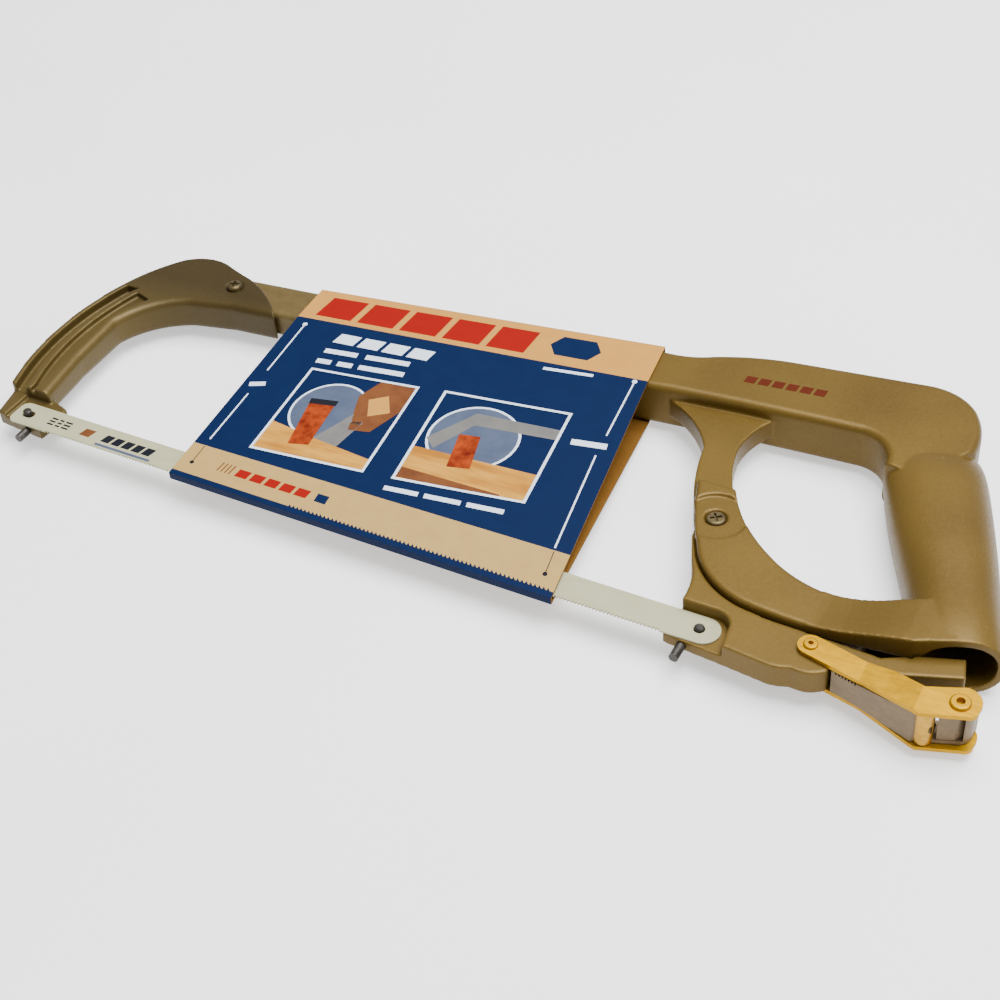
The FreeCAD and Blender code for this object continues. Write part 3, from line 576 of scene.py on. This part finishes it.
def bands(far):
    """The card's coloured bands, with a row of blocks and a mark on the top one."""
    side = "far" if far else "near"
    name_row = slanted_blocks(7, 4.5, 111, 19.0, 5, 2.0, 3.2)
    mark = [(117, 10.5), (121, 4.5), (136, 4.5), (140, 10.5), (136, 16.5), (121, 16.5)]
    printed(side + "_top_band", "cream", [band(0.2, 22.1)], 1, far)
    printed(side + "_blue_panel", "blue", [band(22.1, 110.5)], 1, far)
    printed(side + "_low_band", "low_cream", [band(110.5, 127.4)], 1, far)
    printed(side + "_edge_line", "blue", [band(127.4, 130.0)], 1, far)
    printed(side + "_name_blocks", "red", name_row, 2, far)
    printed(side + "_mark", "blue", [mark], 2, far)


def dimension_lines():
    strokes = [stroke((6.0, 27.4), (5.9, 60.0), 0.7), stroke((5.7, 76.0), (5.3, 106.5), 0.7),
               stroke((159.7, 24.0), (158.4, 53.5), 0.7), stroke((157.8, 64.0), (158.5, 109.5), 0.7)]
    ends = [dot((6.0, 26.6), 2.2), dot((159.7, 23.6), 2.2)]
    words = [stroke((3.0, 70.5), (9.6, 68.0), 2.6), stroke((145.9, 60.2), (160.6, 58.8), 2.8)]
    printed("dimension_lines", "white", strokes + ends + words, 2)
    low = [stroke((5.5, 111.0), (5.5, 120.5), 0.35), stroke((158.8, 111.0), (159.2, 120.5), 0.35),
           dot((5.5, 121.1), 1.9), dot((159.2, 121.2), 1.9)]
    printed("dimension_feet", "black", low, 2)


def line_blocks():
    """White bars in place of the card's lines of print."""
    top = slanted_blocks(24.0, 28.2, 71.5, 34.4, 4, 1.6, 2.0)
    second = [stroke((23.5, 40.4), (39.0, 39.6), 2.8), stroke((43.0, 39.4), (63.5, 38.4), 2.8)]
    third = [stroke((23.2, 47.4), (30.0, 47.0), 2.8), stroke((33.0, 46.8), (40.0, 46.4), 2.8),
             stroke((43.0, 46.2), (64.0, 45.0), 2.8)]
    under = [stroke((84.8, 105.2), (99.0, 103.8), 2.2), stroke((101.5, 103.6), (116.5, 102.2), 2.2),
             stroke((119.0, 102.0), (134.0, 100.6), 2.2)]
    small = [stroke((119.8, 25.6), (141.8, 24.6), 1.5)]
    printed("line_blocks", "white", top + second + third + under + small, 2)


def low_band_marks():
    """Small blocks, stripes and a printed row of teeth on the lower band."""
    stripes = [stroke((start, 121.4), (start + 0.7, 116.4), 0.6) for start in (17.5, 19.3, 21.1, 22.9)]
    mark = [(62, 117.2), (67, 117.2), (67, 121.4), (62, 121.4)]
    teeth = []
    for number in range(64):
        start = 54.0 + 1.72 * number
        teeth.append([(start, 127.5), (start + 0.2, 126.3), (start + 1.3, 127.5)])
    printed("low_blocks", "red", slanted_blocks(25.5, 117.2, 59.5, 121.4, 5, 0.8, 1.4), 2)
    printed("low_stripes", "tan", stripes, 2)
    printed("low_mark", "blue", [mark], 2)
    printed("low_teeth", "blue", teeth, 2)


def low_edge():
    """The card's folded lower edge, which the blue line runs round."""
    steps = 24
    vertices = []
    for step in range(steps + 1):
        spot = side_point(step / steps, 1.0)
        for z in (spot.z, -spot.z):
            vertices.append(place(spot.x, spot.y - EDGE_DROP, z))
    faces = [(2 * step, 2 * step + 1, 2 * step + 3, 2 * step + 2) for step in range(steps)]
    return on_sleeve(thicken(mesh_object("low_edge_line", vertices, faces, INKS["blue"])))


board()
low_edge()
for far in (False, True):
    bands(far)
first_picture()
second_picture()
dimension_lines()
line_blocks()
low_band_marks()


# ------------------------------------------------------------------ marks on the metal

BLADE_FACE = 0.37             # height of the ink on the blade
BEAM_FACE = 10.05             # and on the handle's beam
BEAM_TILT = math.radians(5.4)


def marked(name, ink, shapes, height, body):
    """Flat marks at a height in the saw's own axes, on one of its bodies."""
    vertices = []
    faces = []
    for corners in shapes:
        faces.append(tuple(range(len(vertices), len(vertices) + len(corners))))
        vertices += [place(x, y, height) for x, y in corners]
    piece = thicken(mesh_object(name, vertices, faces, INKS[ink]))
    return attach(piece, body)


def blade_mark(name, ink, shapes):
    return marked(name, ink, shapes, BLADE_FACE, "blade")


def blade_marks():
    """Generic bars and blocks beside the blade's front hole."""
    small = [stroke((x, y), (x + length, y), 0.9)
             for x, length in ((11.5, 3.0), (15.6, 2.2), (18.8, 3.4)) for y in (2.0, 0.2, -1.6)]
    blocks = [[(start, -2.2), (start + 4.0, -2.2), (start + 5.0, 2.2), (start + 1.0, 2.2)]
              for start in (39.5, 44.6, 49.7, 54.8, 59.9)]
    blade_mark("blade_small_marks", "black", small)
    blade_mark("blade_blocks", "black", blocks)
    blade_mark("blade_underline", "grey", [stroke((38.5, -4.3), (66.0, -4.3), 1.3)])
    blade_mark("blade_tan_block", "tan", [[(28.5, -2.2), (33.5, -2.2), (34.5, 2.2), (29.5, 2.2)]])


def beam_marks():
    """Row of generic blocks on the handle's beam."""
    along = Vector((math.cos(BEAM_TILT), math.sin(BEAM_TILT)))
    up = Vector((-along.y, along.x))
    start = Vector((265.4, 123.8))
    blocks = []
    for number in range(6):
        low = start + along * (5.6 * number)
        top = low + along * 0.6 + up * 4.2
        blocks.append([tuple(low), tuple(low + along * 4.4), tuple(top + along * 4.4), tuple(top)])
    marked("beam_blocks", "brown", blocks, BEAM_FACE, "frame")


blade_marks()
beam_marks()


# ------------------------------------------------------------------ floor, light and camera

FLOOR_SIDE = 60.0             # metres
FLOOR_DROP = 0.0002
FOCAL_LENGTH = 61.2           # millimetres on a 36 mm sensor


def floor():
    """Plain pale floor that glows a little, as a lit studio sweep does."""
    bpy.ops.mesh.primitive_plane_add(size=FLOOR_SIDE, location=(0, 0, -FLOOR_DROP))
    ground = bpy.context.object
    ground.name = "studio_floor"
    s = Shader("studio_floor")
    s.surface.inputs["Emission Color"].default_value = (1, 1, 1, 1)
    s.surface.inputs["Emission Strength"].default_value = 0.75
    paper = s.ramp(s.noise(6, 2, 0.5), (0.3, (0.61, 0.61, 0.62)), (0.7, (0.64, 0.64, 0.65)))
    ground.data.materials.append(s.finish(paper, 0.95, shine=0.1))


def softbox(name, position, aim, size, power):
    light = bpy.data.lights.new(name, "AREA")
    light.shape = "RECTANGLE"
    light.size, light.size_y = size
    light.energy = power
    lamp = show(name, light)
    lamp.location = position
    lamp.rotation_euler = (Vector(aim) - Vector(position)).to_track_quat("-Z", "Y").to_euler()


def camera():
    """The photograph's viewing angle, from above the saw's lower right."""
    right = Vector((0.8782, 0.4736, -0.0676))
    up = Vector((-0.2662, 0.6012, 0.7534))
    back = Vector((0.3974, -0.6436, 0.6541))
    lens = bpy.data.cameras.new("photo_camera")
    lens.lens = FOCAL_LENGTH
    lens.sensor_width = 36.0
    lens.clip_start = 0.01
    eye = show("photo_camera", lens)
    turn = Matrix((right, up, back)).transposed()
    eye.matrix_world = Matrix.Translation(place(460.0, -381.3, 419.9)) @ turn.to_4x4()
    bpy.context.scene.camera = eye


def world():
    sky = bpy.data.worlds.new("studio")
    bpy.context.scene.world = sky
    sky.use_nodes = True
    background = sky.node_tree.nodes["Background"]
    background.inputs["Color"].default_value = (1, 1, 1, 1)
    background.inputs["Strength"].default_value = 0.6


floor()
world()
softbox("overhead", (0.35, 0.20, 1.6), (0, 0, 0), (1.5, 1.2), 96)
softbox("right_fill", (1.5, -0.2, 0.8), (0.1, 0, 0), (1.0, 0.8), 9)
camera()
